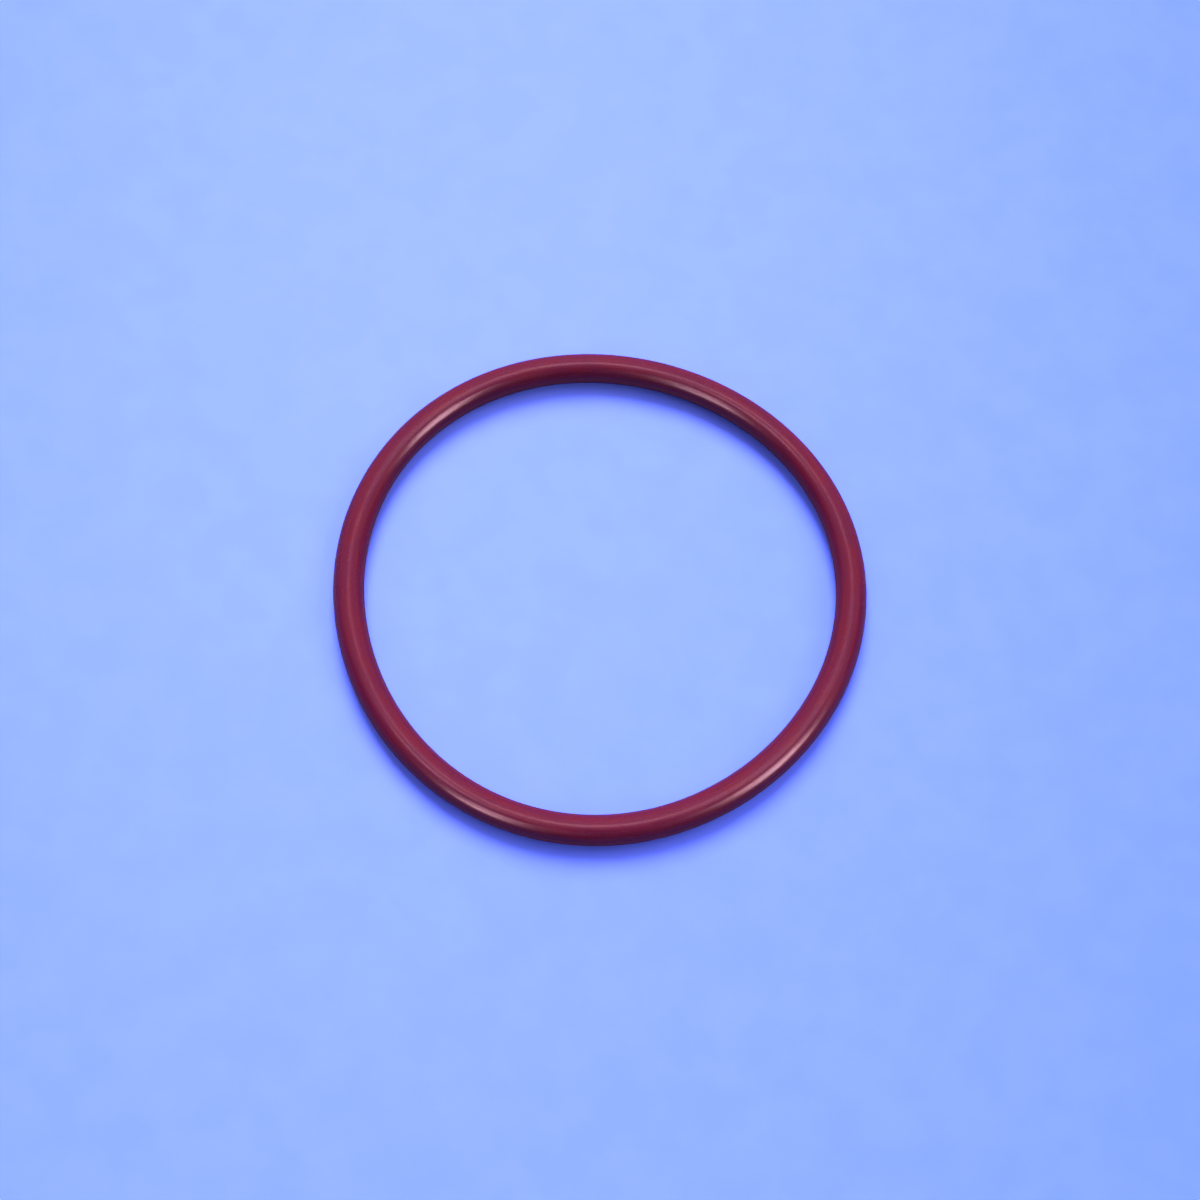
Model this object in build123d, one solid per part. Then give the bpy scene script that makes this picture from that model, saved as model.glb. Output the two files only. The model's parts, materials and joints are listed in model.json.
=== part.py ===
"""Torque converter O-ring: one moulded elastomer ring of round section.

Units are millimetres. The ring's axis is Z and the origin is its centre, on
the mid-plane where the two halves of its mould met. Lying down, it rests on
the lower crest of its section.
"""

from build123d import *

import os

# Driving dimensions
INSIDE_DIAMETER = 56.0  # across the hole, between the bare walls of the section
SECTION_DIAMETER = 3.55  # thickness of the rubber cord

# The witness line: what trimming leaves of the mould flash, all the way round
# the inside and the outside of the ring, at the mid-plane.
WITNESS_WIDTH = 0.20  # along the axis
WITNESS_PROUD = 0.05  # how far the trimmed edge stands out of the round section

# Worked out from the driving dimensions
SECTION_RADIUS = SECTION_DIAMETER / 2
SECTION_CENTRE = INSIDE_DIAMETER / 2 + SECTION_RADIUS


def round_section():
    """The rubber's round section, in the XZ plane, at its distance from the axis."""
    return Pos(SECTION_CENTRE, 0) * Circle(SECTION_RADIUS)


def witness_strip():
    """The trimmed flash as a thin strip through the section, proud of it at both ends."""
    across = SECTION_DIAMETER + 2 * WITNESS_PROUD
    return Pos(SECTION_CENTRE, 0) * Rectangle(across, WITNESS_WIDTH)


def seal_ring():
    """The whole seal: its section turned once round the axis."""
    section = round_section() + witness_strip()
    return revolve(Plane.XZ * section, axis=Axis.Z, revolution_arc=360)


def main():
    os.makedirs("parts", exist_ok=True)
    export_step(seal_ring(), "parts/seal_ring.step")


main()
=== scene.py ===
"""Torque converter O-ring: its soft moulded shape and satin rubber, on a plain pale floor.

Lengths are metres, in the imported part's frame: the ring's axis is Z, its centre is the
origin, and it lies on the lower crest of its round section.
"""

import json
import math

import bpy
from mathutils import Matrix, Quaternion, Vector


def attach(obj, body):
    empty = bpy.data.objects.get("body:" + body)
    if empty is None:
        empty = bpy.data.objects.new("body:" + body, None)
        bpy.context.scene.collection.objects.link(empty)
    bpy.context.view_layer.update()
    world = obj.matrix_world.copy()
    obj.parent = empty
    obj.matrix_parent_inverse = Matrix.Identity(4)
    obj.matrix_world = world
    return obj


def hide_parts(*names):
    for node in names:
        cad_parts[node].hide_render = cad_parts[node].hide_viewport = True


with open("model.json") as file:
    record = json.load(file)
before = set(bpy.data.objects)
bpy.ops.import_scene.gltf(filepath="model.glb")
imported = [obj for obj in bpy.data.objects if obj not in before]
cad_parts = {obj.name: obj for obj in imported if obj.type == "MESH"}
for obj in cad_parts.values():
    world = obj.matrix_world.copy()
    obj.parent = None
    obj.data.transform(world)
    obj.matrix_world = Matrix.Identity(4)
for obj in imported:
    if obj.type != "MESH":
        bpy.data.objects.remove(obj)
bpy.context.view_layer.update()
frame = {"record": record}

bl_info = {
    "name": "Moulded O-ring",
    "version": (1, 0, 0),
    "blender": (4, 5, 0),
    "location": "3D View > Sidebar > O-ring",
    "description": "Makes a moulded rubber O-ring and the stage that it lies on",
    "category": "Object",
}

MM = 0.001

# The ring's true sizes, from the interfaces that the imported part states.
INTERFACES = {mount["name"]: mount for mount in frame["record"]["mounts"]}
INSIDE_LAND = INTERFACES["inside_diameter"]["dims"]["r_mm"] * MM
OUTSIDE_LAND = INTERFACES["outside_diameter"]["dims"]["r_mm"] * MM
LAND_WIDTH = INTERFACES["inside_diameter"]["dims"]["length_mm"] * MM
SECTION_RADIUS = -INTERFACES["lower_crest"]["pos_m"][2]
CENTRELINE_RADIUS = (INSIDE_LAND + OUTSIDE_LAND) / 2
LAND_PROUD = (OUTSIDE_LAND - INSIDE_LAND) / 2 - SECTION_RADIUS


class RingSizes(bpy.types.PropertyGroup):
    """The moulded ring's shape."""

    centreline_radius: bpy.props.FloatProperty(
        name="Centreline radius",
        description="From the ring's axis to the middle of its round section",
        default=CENTRELINE_RADIUS, unit="LENGTH", subtype="DISTANCE", precision=5)
    section_radius: bpy.props.FloatProperty(
        name="Section radius",
        description="Radius of the round rubber section",
        default=SECTION_RADIUS, unit="LENGTH", subtype="DISTANCE", precision=5)
    lobe_height: bpy.props.FloatProperty(
        name="Lobe height",
        description="How far the soft ring's three shallow lobes stand out of a true circle",
        default=0.318 * MM, unit="LENGTH", subtype="DISTANCE", precision=5)
    lobe_turn: bpy.props.FloatProperty(
        name="Lobe turn",
        description="Where the first lobe lies, round the ring from +X",
        default=math.radians(18.3), unit="ROTATION", subtype="ANGLE")
    witness_width: bpy.props.FloatProperty(
        name="Witness width",
        description="Width of the trimmed flash line, along the ring's axis",
        default=LAND_WIDTH, unit="LENGTH", subtype="DISTANCE", precision=5)
    witness_proud: bpy.props.FloatProperty(
        name="Witness proud",
        description="How far the trimmed flash stands out of the round section",
        default=LAND_PROUD, unit="LENGTH", subtype="DISTANCE", precision=5)
    waver: bpy.props.FloatProperty(
        name="Waver",
        description="Depth of the slow unevenness of the moulded surface",
        default=0.012 * MM, unit="LENGTH", subtype="DISTANCE", precision=6)
    steps_around: bpy.props.IntProperty(
        name="Steps around", description="Faces round the ring", default=720, min=24)
    steps_in_section: bpy.props.IntProperty(
        name="Steps in section", description="Faces round the section", default=96, min=12)


class RubberFinish(bpy.types.PropertyGroup):
    """The rubber's colours and gloss."""

    rubber: bpy.props.FloatVectorProperty(
        name="Rubber", description="The moulded rubber's main colour",
        default=(0.205, 0.012, 0.058), subtype="COLOR", min=0, max=1)
    red_patch: bpy.props.FloatVectorProperty(
        name="Redder patches", description="Colour of the rubber where its pigment is redder",
        default=(0.230, 0.012, 0.046), subtype="COLOR", min=0, max=1)
    plum_patch: bpy.props.FloatVectorProperty(
        name="Darker patches", description="Colour of the rubber where its pigment is darker",
        default=(0.172, 0.010, 0.056), subtype="COLOR", min=0, max=1)
    trimmed_edge: bpy.props.FloatVectorProperty(
        name="Trimmed edge", description="Colour of the cut rubber on the witness line",
        default=(0.220, 0.026, 0.066), subtype="COLOR", min=0, max=1)
    roughness: bpy.props.FloatProperty(
        name="Roughness", description="Roughness of the moulded skin", default=0.26, min=0, max=1)
    shine_tint: bpy.props.FloatVectorProperty(
        name="Shine tint", description="Tint of the rubber's own shine",
        default=(1.0, 0.55, 0.68), subtype="COLOR", min=0, max=1)
    grain: bpy.props.FloatProperty(
        name="Grain depth", description="Depth of the skin's fine grain",
        default=0.004 * MM, unit="LENGTH", subtype="DISTANCE", precision=6)


class StageSettings(bpy.types.PropertyGroup):
    """The floor, the camera and the lamps."""

    # The floor's colour carries a painted pool of light: the first colour at its palest place, fading to the
    # far colour away from it.
    floor_painted_pool_colour: bpy.props.FloatVectorProperty(
        name="Floor", description="The floor's colour where it is palest",
        default=(0.412, 0.588, 1.0), subtype="COLOR", min=0, max=1)
    floor_painted_falloff_colour: bpy.props.FloatVectorProperty(
        name="Far floor", description="The floor's colour far from its palest place",
        default=(0.090, 0.245, 1.0), subtype="COLOR", min=0, max=1)
    floor_blueness: bpy.props.FloatProperty(
        name="Floor blueness", description="How many times the card's blue outshines its look",
        default=3.0, min=1)
    floor_bounce: bpy.props.FloatVectorProperty(
        name="Floor bounce", description="The colour of the light that the card throws back on the ring",
        default=(0.16, 0.21, 0.75), subtype="COLOR", min=0, max=1)
    # Middle and reach of the painted pool of light on the floor.
    painted_pool_middle: bpy.props.FloatVectorProperty(
        name="Palest place", description="Where the floor is palest",
        default=(-24 * MM, 54 * MM, 0.0), unit="LENGTH", subtype="XYZ", precision=4)
    painted_pool_reach: bpy.props.FloatVectorProperty(
        name="Palest reach", description="How far the pale place reaches each way",
        default=(0.135, 0.225, 1.0), unit="LENGTH", subtype="XYZ", precision=4)
    floor_radius: bpy.props.FloatProperty(
        name="Floor radius", description="How far the floor reaches from the ring",
        default=3.0, unit="LENGTH", subtype="DISTANCE")
    floor_rise: bpy.props.FloatProperty(
        name="Floor rise", description="How far the floor sweeps up at its rim",
        default=0.35, unit="LENGTH", subtype="DISTANCE")
    camera_aim: bpy.props.FloatVectorProperty(
        name="Camera aim", description="The point that the camera looks at",
        default=(0.26 * MM, -1.60 * MM, 0.0), unit="LENGTH", subtype="XYZ", precision=5)
    camera_elevation: bpy.props.FloatProperty(
        name="Camera elevation", description="How far above the horizon the camera looks from",
        default=math.radians(66.65), unit="ROTATION", subtype="ANGLE")
    camera_distance: bpy.props.FloatProperty(
        name="Camera distance", description="From the ring's centre to the camera",
        default=0.262, unit="LENGTH", subtype="DISTANCE")
    camera_roll: bpy.props.FloatProperty(
        name="Camera roll", description="Turn of the camera about its line of sight",
        default=math.radians(4.65), unit="ROTATION", subtype="ANGLE")
    lens: bpy.props.FloatProperty(
        name="Lens", description="The camera's focal length, in millimetres",
        default=66.5, min=1, unit="CAMERA", subtype="DISTANCE_CAMERA")
    tent_light: bpy.props.FloatProperty(
        name="Tent light", description="Strength of the broad soft light from above and behind",
        default=0.46, min=0)
    room_light: bpy.props.FloatProperty(
        name="Room light", description="Strength of the dim light from the room in front",
        default=0.02, min=0)


def feed(tree, socket, value):
    """Links value to the socket where it is another socket, and sets it where it is a constant."""
    if isinstance(value, bpy.types.NodeSocket):
        tree.links.new(value, socket)
    else:
        socket.default_value = value


def add_node(tree, kind, fed=(), **settings):
    """A new node with its settings made and the named sockets fed."""
    node = tree.nodes.new(kind)
    for name, value in settings.items():
        setattr(node, name, value)
    for name, value in dict(fed).items():
        feed(tree, node.inputs[name], value)
    return node


def calc(tree, operation, *values):
    """The result of a Math node on the values."""
    node = tree.nodes.new("ShaderNodeMath")
    node.operation = operation
    for socket, value in zip(node.inputs, values):
        feed(tree, socket, value)
    return node.outputs[0]


def turn_about_axis(tree, xyz):
    """The angle of a point about the Z axis, from its separated coordinates."""
    return calc(tree, "ARCTAN2", xyz.outputs["Y"], xyz.outputs["X"])


def eased(tree, value, start, end, first, last):
    """value taken smoothly from first, at start, to last, at end."""
    fed = {"Value": value, "From Min": start, "From Max": end, "To Min": first, "To Max": last}
    node = add_node(tree, "ShaderNodeMapRange", fed, interpolation_type="SMOOTHSTEP")
    return node.outputs["Result"]


RING_INPUTS = (
    ("Centreline Radius", "NodeSocketFloat", "centreline_radius"),
    ("Section Radius", "NodeSocketFloat", "section_radius"),
    ("Lobe Height", "NodeSocketFloat", "lobe_height"),
    ("Lobe Turn", "NodeSocketFloat", "lobe_turn"),
    ("Witness Width", "NodeSocketFloat", "witness_width"),
    ("Witness Proud", "NodeSocketFloat", "witness_proud"),
    ("Waver", "NodeSocketFloat", "waver"),
    ("Steps Around", "NodeSocketInt", "steps_around"),
    ("Steps In Section", "NodeSocketInt", "steps_in_section"),
)
LOBES = 3
EQUATOR_CROWDING = 0.76  # how strongly the section's points gather at the witness line
WITNESS_FOOT = 0.85  # where the flash has blended into the section, in witness widths from its middle
WITNESS_MASK = "witness"
WAVER_LENGTH = 7 * MM
RAGGED_LENGTH = 0.9 * MM  # of the trimmed flash's unevenness


def lobed_centreline(tree, given):
    """The middle of the rubber: a circle that lies very slightly three-cornered."""
    circle = add_node(tree, "GeometryNodeCurvePrimitiveCircle", mode="RADIUS")
    feed(tree, circle.inputs["Resolution"], given["Steps Around"])
    feed(tree, circle.inputs["Radius"], given["Centreline Radius"])
    place = add_node(tree, "GeometryNodeInputPosition").outputs[0]
    turn = turn_about_axis(tree, add_node(tree, "ShaderNodeSeparateXYZ", {"Vector": place}))
    phase = calc(tree, "MULTIPLY", calc(tree, "SUBTRACT", turn, given["Lobe Turn"]), LOBES)
    share = calc(tree, "DIVIDE", given["Lobe Height"], given["Centreline Radius"])
    reach = calc(tree, "MULTIPLY_ADD", calc(tree, "COSINE", phase), share, 1.0)
    moved = add_node(tree, "ShaderNodeVectorMath", {"Vector": place, "Scale": reach}, operation="SCALE")
    fed = {"Geometry": circle.outputs["Curve"], "Position": moved.outputs["Vector"]}
    lobed = add_node(tree, "GeometryNodeSetPosition", fed)
    return add_node(tree, "GeometryNodeSetCurveNormal", {"Curve": lobed.outputs[0]}, mode="Z_UP").outputs[0]


def section_outline(tree, given):
    """The round section with the trimmed flash standing proud of its inner and outer equator."""
    circle = add_node(tree, "GeometryNodeCurvePrimitiveCircle", mode="RADIUS")
    feed(tree, circle.inputs["Resolution"], given["Steps In Section"])
    feed(tree, circle.inputs["Radius"], given["Section Radius"])
    place = add_node(tree, "GeometryNodeInputPosition").outputs[0]
    even = turn_about_axis(tree, add_node(tree, "ShaderNodeSeparateXYZ", {"Vector": place}))
    pull = calc(tree, "SINE", calc(tree, "MULTIPLY", even, 2.0))
    crowded = calc(tree, "MULTIPLY_ADD", pull, -EQUATOR_CROWDING / 2, even)
    height = calc(tree, "MULTIPLY", calc(tree, "SINE", crowded), given["Section Radius"])
    half = calc(tree, "MULTIPLY", given["Witness Width"], 0.5)
    foot = calc(tree, "MULTIPLY", given["Witness Width"], WITNESS_FOOT)
    mask = eased(tree, calc(tree, "ABSOLUTE", height), half, foot, 1.0, 0.0)
    reach = calc(tree, "MULTIPLY_ADD", mask, given["Witness Proud"], given["Section Radius"])
    across = calc(tree, "MULTIPLY", calc(tree, "COSINE", crowded), reach)
    fed = {"X": across, "Y": height}
    fed = {"Geometry": circle.outputs["Curve"],
           "Position": add_node(tree, "ShaderNodeCombineXYZ", fed).outputs[0]}
    outline = add_node(tree, "GeometryNodeSetPosition", fed)
    keep = add_node(tree, "GeometryNodeStoreNamedAttribute", data_type="FLOAT", domain="POINT")
    feed(tree, keep.inputs["Geometry"], outline.outputs[0])
    feed(tree, keep.inputs["Name"], WITNESS_MASK)
    feed(tree, keep.inputs["Value"], mask)
    return keep.outputs[0]


def pushed_along_normal(tree, mesh, amount):
    """The mesh with each point moved out along its normal."""
    normal = add_node(tree, "GeometryNodeInputNormal").outputs[0]
    offset = add_node(tree, "ShaderNodeVectorMath", {"Vector": normal, "Scale": amount}, operation="SCALE")
    fed = {"Geometry": mesh, "Offset": offset.outputs["Vector"]}
    return add_node(tree, "GeometryNodeSetPosition", fed).outputs[0]


def centred_noise(tree, size, detail):
    """Noise about zero at each point, with features of the given size."""
    fed = {"Scale": 1 / size, "Detail": detail}
    noise = add_node(tree, "ShaderNodeTexNoise", fed, noise_dimensions="3D")
    return calc(tree, "SUBTRACT", noise.outputs[0], 0.5)


def ring_tree(material):
    """Geometry nodes that sweep the section round the lobed centreline."""
    tree = bpy.data.node_groups.new("Moulded ring", "GeometryNodeTree")
    for name, kind, _ in RING_INPUTS:
        tree.interface.new_socket(name, in_out="INPUT", socket_type=kind)
    tree.interface.new_socket("Ring", in_out="OUTPUT", socket_type="NodeSocketGeometry")
    given = tree.nodes.new("NodeGroupInput").outputs
    swept = add_node(tree, "GeometryNodeCurveToMesh")
    feed(tree, swept.inputs["Curve"], lobed_centreline(tree, given))
    feed(tree, swept.inputs["Profile Curve"], section_outline(tree, given))
    smooth = add_node(tree, "GeometryNodeSetShadeSmooth", {"Geometry": swept.outputs[0]})
    slow = calc(tree, "MULTIPLY", centred_noise(tree, WAVER_LENGTH, 1.0), given["Waver"])
    wavy = pushed_along_normal(tree, smooth.outputs[0], slow)
    mask = add_node(tree, "GeometryNodeInputNamedAttribute", {"Name": WITNESS_MASK}, data_type="FLOAT")
    ragged = calc(tree, "MULTIPLY", centred_noise(tree, RAGGED_LENGTH, 2.0), given["Witness Proud"])
    trimmed = pushed_along_normal(tree, wavy, calc(tree, "MULTIPLY", ragged, mask.outputs["Attribute"]))
    whole = add_node(tree, "GeometryNodeRealizeInstances", {"Geometry": trimmed})
    coated = add_node(tree, "GeometryNodeSetMaterial", {"Geometry": whole.outputs[0], "Material": material})
    feed(tree, tree.nodes.new("NodeGroupOutput").inputs[0], coated.outputs[0])
    return tree


def made_by_tree(name, tree, values):
    """A plain mesh object with what a geometry node tree makes from the named values."""
    piece = bpy.data.objects.new(name, bpy.data.meshes.new(name))
    bpy.context.scene.collection.objects.link(piece)
    maker = piece.modifiers.new(tree.name, "NODES")
    maker.node_group = tree
    for item in tree.interface.items_tree:
        if item.in_out == "INPUT":
            maker[item.identifier] = values[item.name]
    graph = bpy.context.evaluated_depsgraph_get()
    made = piece.evaluated_get(graph)
    mesh = bpy.data.meshes.new_from_object(made, preserve_all_data_layers=True, depsgraph=graph)
    piece.modifiers.remove(maker)
    piece.data = mesh
    mesh.name = name
    if not mesh.polygons:
        raise RuntimeError(f"{name} came out empty")
    return piece


RUBBER_IOR = 1.5
WIDE_MOTTLE = 1.1 * MM  # width of the redder patches, across the rubber
NARROW_MOTTLE = 0.7 * MM  # width of the darker patches
FLOW_STREAK = 0.35 * MM  # width of the flow streaks that the gloss shows
SKIN_GRAIN = 0.13 * MM


def rubber_material(finish):
    """Satin moulded rubber: mottled pigment drawn out along the ring, fine grain, cut witness line."""
    material = bpy.data.materials.new("moulded_rubber")
    material.use_nodes = True
    tree = material.node_tree
    shader = tree.nodes["Principled BSDF"]
    shader.inputs["IOR"].default_value = RUBBER_IOR
    shader.inputs["Specular Tint"].default_value = (*finish.shine_tint, 1.0)
    place = add_node(tree, "ShaderNodeTexCoord").outputs["Object"]
    xyz = add_node(tree, "ShaderNodeSeparateXYZ", {"Vector": place})
    turn = turn_about_axis(tree, xyz)
    radius = calc(tree, "SQRT", calc(tree, "ADD", calc(tree, "POWER", xyz.outputs["X"], 2.0),
                                     calc(tree, "POWER", xyz.outputs["Y"], 2.0)))

    def along_ring(across, stretch, detail):
        """Seamless noise with features this wide across the rubber and stretched along it."""
        coil = CENTRELINE_RADIUS / (across * stretch)
        fed = {"X": calc(tree, "DIVIDE", radius, across), "Y": calc(tree, "DIVIDE", xyz.outputs["Z"], across),
               "Z": calc(tree, "MULTIPLY", calc(tree, "COSINE", turn), coil)}
        where = add_node(tree, "ShaderNodeCombineXYZ", fed).outputs[0]
        fed = {"Vector": where, "W": calc(tree, "MULTIPLY", calc(tree, "SINE", turn), coil),
               "Scale": 1.0, "Detail": detail}
        return add_node(tree, "ShaderNodeTexNoise", fed, noise_dimensions="4D").outputs[0]

    def skin_noise(size, detail):
        """Noise with features of one size all ways."""
        fed = {"Vector": place, "Scale": 1 / size, "Detail": detail}
        return add_node(tree, "ShaderNodeTexNoise", fed, noise_dimensions="3D").outputs[0]

    def mixed(share, first, second):
        """Two colours mixed by share."""
        node = add_node(tree, "ShaderNodeMix", data_type="RGBA")
        feed(tree, node.inputs["Factor"], share)
        for socket, colour in ((node.inputs[6], first), (node.inputs[7], second)):
            feed(tree, socket, colour if isinstance(colour, bpy.types.NodeSocket) else (*colour, 1.0))
        return node.outputs[2]

    patches = eased(tree, along_ring(WIDE_MOTTLE, 4.0, 2.0), 0.42, 0.62, 0.0, 0.85)
    dark = eased(tree, along_ring(NARROW_MOTTLE, 7.0, 3.0), 0.48, 0.68, 0.0, 0.8)
    witness = add_node(tree, "ShaderNodeAttribute", attribute_name=WITNESS_MASK).outputs["Fac"]
    colour = mixed(patches, finish.rubber, finish.red_patch)
    colour = mixed(dark, colour, finish.plum_patch)
    colour = mixed(calc(tree, "MULTIPLY", witness, 0.7), colour, finish.trimmed_edge)
    tree.links.new(colour, shader.inputs["Base Color"])

    fine = skin_noise(SKIN_GRAIN, 3.0)
    streaks = along_ring(FLOW_STREAK, 12.0, 2.0)
    rough = calc(tree, "MULTIPLY_ADD", calc(tree, "SUBTRACT", streaks, 0.5), 0.16, finish.roughness)
    rough = calc(tree, "MULTIPLY_ADD", calc(tree, "SUBTRACT", fine, 0.5), 0.10, rough)
    rough = calc(tree, "MULTIPLY_ADD", witness, 0.18, rough)
    tree.links.new(rough, shader.inputs["Roughness"])

    height = calc(tree, "MULTIPLY_ADD", streaks, 0.6, fine)
    bump = add_node(tree, "ShaderNodeBump", {"Strength": 1.0, "Distance": finish.grain, "Height": height})
    tree.links.new(bump.outputs["Normal"], shader.inputs["Normal"])
    return material


CARD_CLOUD = 5 * MM  # size of the card's faint mottling


def floor_material(stage):
    """Deep blue card, well lit, so that only its shadows show how deep its blue is, with a painted pool of
    light: palest round one place and darker farther away.
    """
    material = bpy.data.materials.new("blue_card")
    material.use_nodes = True
    tree = material.node_tree
    tree.nodes.remove(tree.nodes["Principled BSDF"])
    place = add_node(tree, "ShaderNodeTexCoord").outputs["Object"]
    away = add_node(tree, "ShaderNodeMapping", {"Vector": place, "Location": stage.painted_pool_middle,
                                                "Scale": stage.painted_pool_reach}, vector_type="TEXTURE")
    away = add_node(tree, "ShaderNodeVectorMath", {0: away.outputs[0]}, operation="LENGTH")
    # Painted pool of light: the card fades from its palest place towards the darker far colour, with the
    # card's own faint mottling added.
    painted_pool_fade_and_mottle = calc(tree, "POWER", away.outputs["Value"], 2.0)
    painted_pool_fade_and_mottle = calc(tree, "DIVIDE", painted_pool_fade_and_mottle, calc(tree, "ADD", painted_pool_fade_and_mottle, 1.0))
    cloud = add_node(tree, "ShaderNodeTexNoise", {"Vector": place, "Scale": 1 / CARD_CLOUD, "Detail": 6.0})
    painted_pool_fade_and_mottle = calc(tree, "ADD", painted_pool_fade_and_mottle, eased(tree, cloud.outputs[0], 0.3, 0.7, -0.02, 0.05))
    tint = add_node(tree, "ShaderNodeMix", {"Factor": painted_pool_fade_and_mottle}, data_type="RGBA")
    tint.inputs[6].default_value = (*stage.floor_painted_pool_colour, 1.0)
    tint.inputs[7].default_value = (*stage.floor_painted_falloff_colour, 1.0)
    deeper = add_node(tree, "ShaderNodeVectorMath", {0: tint.outputs[2]}, operation="MULTIPLY")
    deeper.inputs[1].default_value = (1.0, 1.0, stage.floor_blueness)
    seen = add_node(tree, "ShaderNodeLightPath").outputs["Is Camera Ray"]
    card = add_node(tree, "ShaderNodeMix", {"Factor": seen}, data_type="RGBA")
    card.inputs[6].default_value = (*stage.floor_bounce, 1.0)
    tree.links.new(deeper.outputs[0], card.inputs[7])
    card = add_node(tree, "ShaderNodeBsdfDiffuse", {"Color": card.outputs[2]})
    tree.links.new(card.outputs[0], tree.nodes["Material Output"].inputs["Surface"])
    return material


class ORING_OT_moulded_ring(bpy.types.Operator):
    """Make the moulded rubber ring"""

    bl_idname = "oring.moulded_ring"
    bl_label = "Moulded ring"

    def execute(self, context):
        sizes = context.scene.oring_sizes
        values = {name: getattr(sizes, prop) for name, _, prop in RING_INPUTS}
        tree = ring_tree(rubber_material(context.scene.oring_finish))
        ring = made_by_tree("seal_ring_rubber", tree, values)
        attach(ring, "root")
        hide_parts("seal_ring")
        return {"FINISHED"}


# Each lamp's name, its bearing from +X, elevation and width in degrees, its strength, and its
# share of the work: SHADE lamps light and shadow the surfaces, and GLOSS lamps show only as
# reflections in the rubber.
LAMPS = (
    ("lamp_behind", 97, 50, 36, 2.25, "SHADE"),
    ("lamp_side", 20, 45, 30, 0.25, "SHADE"),
    ("lamp_front_right", -23, 38, 30, 0.24, "SHADE"),
    ("lamp_front_left", -123, 38, 30, 0.15, "SHADE"),
    ("strip_front_right_low", -23, 28, 19, 1.60, "GLOSS"),
    ("strip_front_right_high", -23, 44, 18, 1.15, "GLOSS"),
    ("strip_front_left_low", -123, 28, 17, 1.02, "GLOSS"),
    ("strip_front_left_high", -121, 46, 15, 0.56, "GLOSS"),
    ("strip_above_right", 25, 71, 14, 0.19, "GLOSS"),
    ("strip_above", 90, 76, 12, 0.25, "GLOSS"),
    ("strip_above_left", 190, 71, 14, 0.32, "GLOSS"),
)
TENT_BEARING, TENT_ELEVATION = 98, 40  # the middle of the broad soft light, in degrees
TENT_EDGE = (50, 72)  # the angles from its middle where it starts to fade and has faded


def direction(bearing, elevation):
    """The unit vector towards a bearing and an elevation, both in radians."""
    level = math.cos(elevation)
    return Vector((math.cos(bearing) * level, math.sin(bearing) * level, math.sin(elevation)))


def add_lamp(name, bearing, elevation, width, strength, part):
    """A soft lamp far away, seen from the ring as a disc of the given angular width."""
    lamp = bpy.data.lights.new(name, "SUN")
    lamp.angle = math.radians(width)
    lamp.energy = strength
    holder = bpy.data.objects.new(name, lamp)
    bpy.context.scene.collection.objects.link(holder)
    towards = direction(math.radians(bearing), math.radians(elevation))
    holder.location = towards
    holder.rotation_mode = "QUATERNION"
    holder.rotation_quaternion = towards.to_track_quat("Z", "Y")
    holder.visible_diffuse = part == "SHADE"
    holder.visible_glossy = part == "GLOSS"


def add_camera(stage):
    """The camera above the front of the ring, looking down at its centre."""
    camera = bpy.data.objects.new("camera", bpy.data.cameras.new("camera"))
    bpy.context.scene.collection.objects.link(camera)
    camera.data.lens = stage.lens
    camera.data.clip_start = 0.01
    camera.data.clip_end = 20
    towards = direction(math.radians(-90), stage.camera_elevation)
    camera.location = Vector(stage.camera_aim) + towards * stage.camera_distance
    camera.rotation_mode = "QUATERNION"
    aim = towards.to_track_quat("Z", "Y")
    camera.rotation_quaternion = aim @ Quaternion((0, 0, 1), stage.camera_roll)
    bpy.context.scene.camera = camera


FLOOR_SIDES = 96
FLOOR_RINGS = 24
FLAT_SHARE = 0.6  # of the floor's radius


def add_floor(stage, height):
    """The floor, level with the ring's lower crest, sweeping up gently at its far rim."""
    points, faces = [(0, 0, height)], []
    for ring in range(FLOOR_RINGS + 1):
        climb = ring / FLOOR_RINGS
        reach = stage.floor_radius * (FLAT_SHARE + (1 - FLAT_SHARE) * climb)
        level = height + stage.floor_rise * climb ** 2
        start = len(points)
        for side in range(FLOOR_SIDES):
            turn = math.tau * side / FLOOR_SIDES
            points.append((reach * math.cos(turn), reach * math.sin(turn), level))
            ahead = (side + 1) % FLOOR_SIDES
            if ring:
                below = start - FLOOR_SIDES
                faces.append((below + side, start + side, start + ahead, below + ahead))
            else:
                faces.append((0, start + side, start + ahead))
    mesh = bpy.data.meshes.new("floor")
    mesh.from_pydata(points, [], faces)
    mesh.shade_smooth()
    mesh.materials.append(floor_material(stage))
    floor = bpy.data.objects.new("floor", mesh)
    bpy.context.scene.collection.objects.link(floor)


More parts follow.
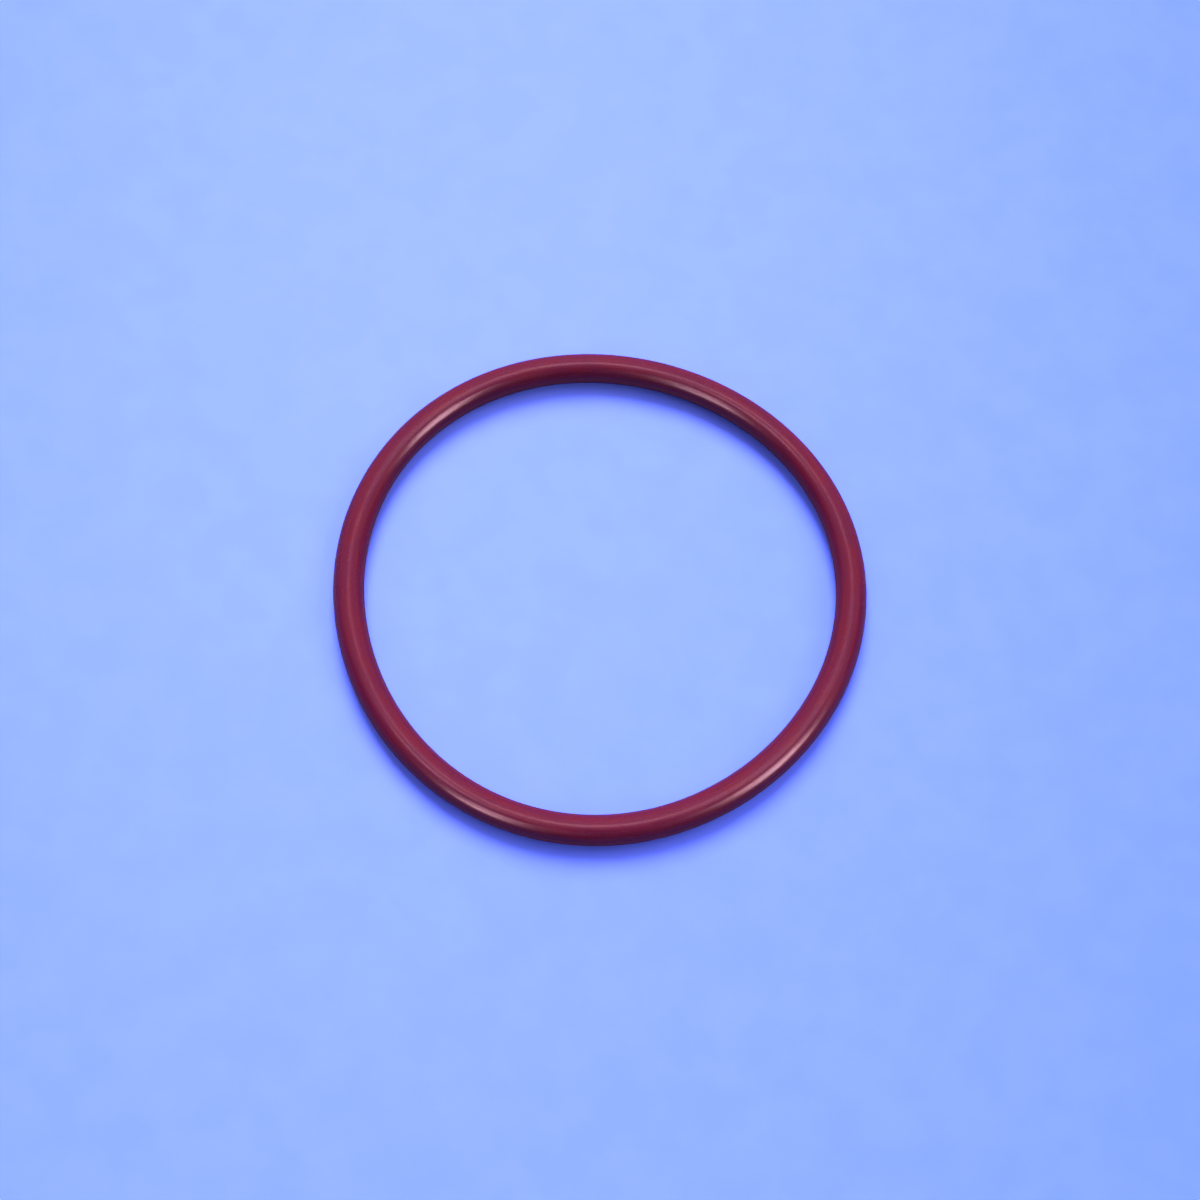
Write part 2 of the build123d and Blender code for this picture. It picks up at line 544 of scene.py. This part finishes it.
def add_tent_light(stage):
    """Broad soft light from a white tent above and behind, open to a dim room in front."""
    world = bpy.data.worlds.new("tent")
    bpy.context.scene.world = world
    world.use_nodes = True
    tree = world.node_tree
    background = tree.nodes["Background"]
    background.inputs["Color"].default_value = (1.0, 1.0, 1.0, 1.0)
    look = add_node(tree, "ShaderNodeTexCoord").outputs["Generated"]
    middle = direction(math.radians(TENT_BEARING), math.radians(TENT_ELEVATION))
    facing = add_node(tree, "ShaderNodeVectorMath", operation="DOT_PRODUCT")
    feed(tree, facing.inputs[0], look)
    feed(tree, facing.inputs[1], middle)
    full, gone = (math.cos(math.radians(angle)) for angle in TENT_EDGE)
    glow = eased(tree, facing.outputs["Value"], gone, full, stage.room_light, stage.tent_light)
    tree.links.new(glow, background.inputs["Strength"])


class ORING_OT_stage(bpy.types.Operator):
    """Make the floor, the lamps and the camera"""

    bl_idname = "oring.stage"
    bl_label = "Stage"

    def execute(self, context):
        stage = context.scene.oring_stage
        add_floor(stage, -context.scene.oring_sizes.section_radius)
        add_tent_light(stage)
        for lamp in LAMPS:
            add_lamp(*lamp)
        add_camera(stage)
        context.scene.view_settings.view_transform = "Standard"
        return {"FINISHED"}


MAKERS = (ORING_OT_moulded_ring, ORING_OT_stage)
GROUPS = (("oring_sizes", RingSizes), ("oring_finish", RubberFinish), ("oring_stage", StageSettings))


class ORING_PT_maker(bpy.types.Panel):
    """The O-ring's sizes and colours, and the buttons that make it"""

    bl_label = "Moulded O-ring"
    bl_idname = "ORING_PT_maker"
    bl_space_type = "VIEW_3D"
    bl_region_type = "UI"
    bl_category = "O-ring"

    def draw(self, context):
        for name, group in GROUPS:
            box = self.layout.box()
            for prop in group.__annotations__:
                box.prop(getattr(context.scene, name), prop)
        for maker in MAKERS:
            self.layout.operator(maker.bl_idname)


CLASSES = tuple(group for _, group in GROUPS) + MAKERS + (ORING_PT_maker,)


def register():
    for each in CLASSES:
        bpy.utils.register_class(each)
    for name, group in GROUPS:
        setattr(bpy.types.Scene, name, bpy.props.PointerProperty(type=group))


def unregister():
    for name, _ in GROUPS:
        delattr(bpy.types.Scene, name)
    for each in reversed(CLASSES):
        bpy.utils.unregister_class(each)


def main():
    register()
    bpy.ops.oring.moulded_ring()
    bpy.ops.oring.stage()


if __name__ == "__main__":
    main()
